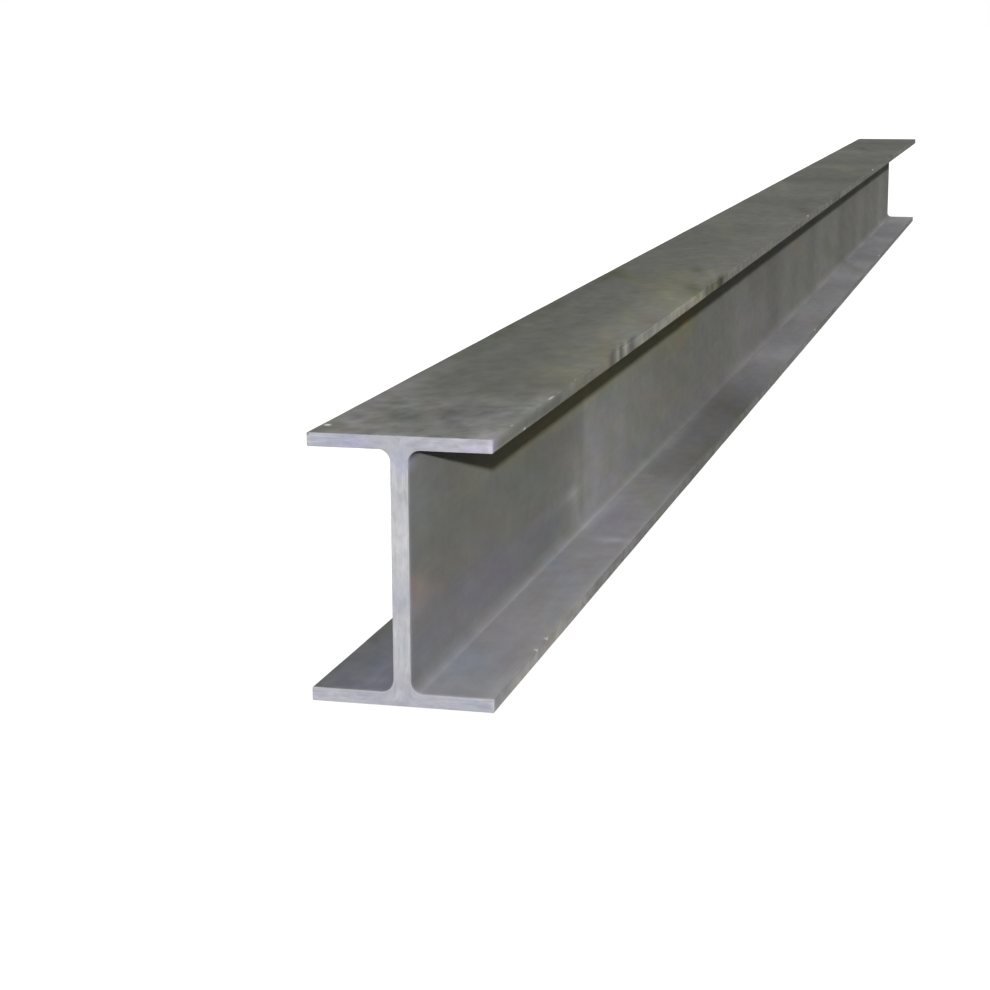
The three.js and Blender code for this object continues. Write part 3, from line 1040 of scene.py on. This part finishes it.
# A zone of the near end: its middle and reach across and up, and how much lighter, bluer and
# redder it is. It fades between two shares of its reach.
Zone = namedtuple("Zone", "x z wide high lighter bluer redder", defaults=(0, 0))
ZONE_FADE = (0.3, 1.5)
ZONES = (
    Zone(-0.062, 0.281, 0.036, 0.008, -0.05, 1.45, 0.2),
    Zone(-0.098, 0.282, 0.003, 0.009, 0.1, -0.6, -0.6),
    Zone(0.076, 0.281, 0.026, 0.007, 0.04, 0.1, 0.8),
    Zone(0.0985, 0.2825, 0.004, 0.014, 0.26, 0.3, 0.8),
    Zone(0.014, 0.281, 0.008, 0.0025, -0.1, 0.2, 0.6),
    Zone(-0.004, 0.283, 0.004, 0.005, -0.07, 0.2, 0.8),
    Zone(0.002, 0.264, 0.011, 0.015, 0, 1.2, -0.6),
    Zone(0, 0.175, 0.012, 0.034, 0.11, -0.25, 0.1),
    Zone(0, 0.115, 0.012, 0.014, -0.1, 0.8, -0.1),
    Zone(0, 0.064, 0.012, 0.007, 0.04, 0.5, -1),
    Zone(0.002, 0.03, 0.01, 0.01, -0.05, 0.2, 0.8),
    Zone(-0.004, 0.013, 0.005, 0.005, 0.1),
    Zone(0.019, 0.012, 0.007, 0.003, 0.1, 0.1, 0.3),
    Zone(-0.067, 0.009, 0.006, 0.004, 0.05, 0.6),
    Zone(-0.033, 0.008, 0.018, 0.007, -0.07, 0.5, 0.6),
    Zone(-0.075, 0.0015, 0.03, 0.002, 0.08, -0.4),
    Zone(-0.006, 0.003, 0.012, 0.003, -0.1, 0, 1.2),
    Zone(0.057, 0.007, 0.01, 0.006, 0.01, 0.4, 1.5),
    Zone(0.075, 0.006, 0.009, 0.007, -0.02, 0.5, -1.6),
    Zone(0.09, 0.006, 0.008, 0.006, -0.09, 0.2, -0.2),
    # Painted highlight along the lower right flange's upper edge and at its tip.
    Zone(0.084, 0.0145, 0.014, 0.0014, 0.12, -0.4),
    Zone(0.099, 0.009, 0.0016, 0.006, 0.14, -0.4),
    Zone(-0.0988, 0.2888, 0.0022, 0.0022, -0.5),
)


def section_distances(tree, x, z):
    """How far a point of an end is from the web's middle, from the nearer flange's outside, and
    in from the outline."""
    middle = (LOW.z + HIGH.z) / 2
    from_middle = tree.math("ABSOLUTE", tree.math("SUBTRACT", z, middle))
    from_outside = tree.math("SUBTRACT", HIGH.z - middle, from_middle)
    from_web = tree.math("ABSOLUTE", x)
    from_tip = tree.math("SUBTRACT", TOE_X, from_web)
    from_inside = tree.math("SUBTRACT", FLANGE_THICKNESS, from_outside)
    in_flange = tree.math("MINIMUM", from_tip, tree.math("MINIMUM", from_outside, from_inside))
    in_sides = tree.math("SUBTRACT", WEB_FACE, from_web)
    return from_web, from_outside, tree.math("SMOOTH_MAX", in_flange, in_sides, ROOT_RADIUS)


def zone_tones(tree, place, near):
    """How much lighter, bluer and redder the zones make a place, where near is 1."""
    lighter, bluer, redder = 0.0, 0.0, 0.0
    for zone in ZONES:
        offset = tree.vector("SUBTRACT", place, (zone.x, 0.0, zone.z))
        reach = tree.vector("MULTIPLY", offset, (1 / zone.wide, 0.0, 1 / zone.high))
        length = tree.add("ShaderNodeVectorMath", {0: reach}, operation="LENGTH").outputs["Value"]
        shape = tree.math("MULTIPLY", tree.fall(length, *ZONE_FADE), near)
        lighter = tree.math("MULTIPLY_ADD", shape, zone.lighter, lighter)
        bluer = tree.math("MULTIPLY_ADD", shape, zone.bluer, bluer)
        redder = tree.math("MULTIPLY_ADD", shape, zone.redder, redder)
    return lighter, bluer, redder


def sawn_steel():
    """Bright cut steel. Fine streaks follow the flanges and the web, and turn between them."""
    material = bpy.data.materials.new("sawn_steel")
    tree = Tree(material)
    place = tree.place()
    x, y, z = tree.axes(place)
    from_web, from_outside, depth = section_distances(tree, x, z)
    rim = tree.fall(depth, CHAMFER, RIM_WIDTH)
    in_web = tree.rise(from_outside, FLANGE_THICKNESS, FLANGE_FADE)
    past_seam = tree.math("SUBTRACT", tree.total(from_web, from_outside), SEAM_PLACE)
    seam = tree.fall(tree.math("ABSOLUTE", past_seam), 0.0, SEAM_WIDTH)
    lighter, bluer, redder = zone_tones(tree, place, tree.math("LESS_THAN", y, 0.0))

    flow = tree.math("SMOOTH_MIN", from_web, from_outside, FLOW_TURN)
    flow = tree.add("ShaderNodeCombineXYZ", {"X": flow, "Y": x, "Z": z}).outputs[0]
    flowing = (CUT_STREAKS, CUT_LINES, CUT_CLOUDS)
    streaks, lines, clouds = (tree.noise(flow, noise) for noise in flowing)
    hue, blush, grit = (tree.noise(place, noise) for noise in (CUT_HUE, CUT_BLUSH, CUT_GRIT))
    settled = tree.rise(tree.math("MAXIMUM", from_web, from_outside), *FLOW_SETTLES)
    streaks = tree.product(tree.math("SUBTRACT", streaks, 0.5), settled)

    tone = tree.product(
        tree.one_plus(streaks, STREAK_SHARE),
        tree.swing(lines, CUT_LINES.swing),
        tree.swing(clouds, CUT_CLOUDS.swing),
        tree.swing(grit, CUT_GRIT.swing),
        tree.math("ADD", lighter, 1.0),
        tree.one_plus(tree.product(seam, clouds), -SEAM_DARK),
    )
    colourful = tree.one_plus(in_web, -WEB_CALM)
    bluer = tree.math("MULTIPLY_ADD", tree.drift(hue, HUE_RANGE), colourful, bluer)
    redder = tree.math("MULTIPLY_ADD", tree.drift(blush, BLUSH_RANGE), colourful, redder)
    steps = tree.vector("ADD", tree.scaled(SAWN_BLUER, bluer), tree.scaled(SAWN_REDDER, redder))
    tint = tree.vector("ADD", steps, WHITE)
    web_tint = tree.mix(in_web, FLANGE_TINT, WHITE)
    cut = tree.tinted(SAWN_GREY, tint, web_tint, tree.mix(rim, WHITE, RIM_TINT))
    height = tree.total(
        tree.product(lines, CUT_LINES.height),
        tree.product(grit, CUT_GRIT.height),
    )
    shader = {
        "Base Color": tree.scaled(cut, tone),
        "Metallic": SAWN_METALLIC,
        "Roughness": SAWN_ROUGHNESS,
        "Specular IOR Level": SAWN_SHEEN,
    }
    tree.show_steel(height, SAWN_EMBOSS, SAWN_RELIEF, shader)
    return material


# -------------------------------- the whole
def add_beam():
    mesh = beam_mesh()
    mesh.materials.append(mill_scale())
    mesh.materials.append(sawn_steel())
    beam = bpy.data.objects.new("rolled_beam", mesh)
    bpy.context.collection.objects.link(beam)
    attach(beam, "root")
    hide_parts("h_beam")


bpy.context.scene.view_settings.view_transform = "Standard"
add_camera()
light_world()
for lamp in LAMPS:
    add_lamp(lamp)
add_floor()
add_beam()
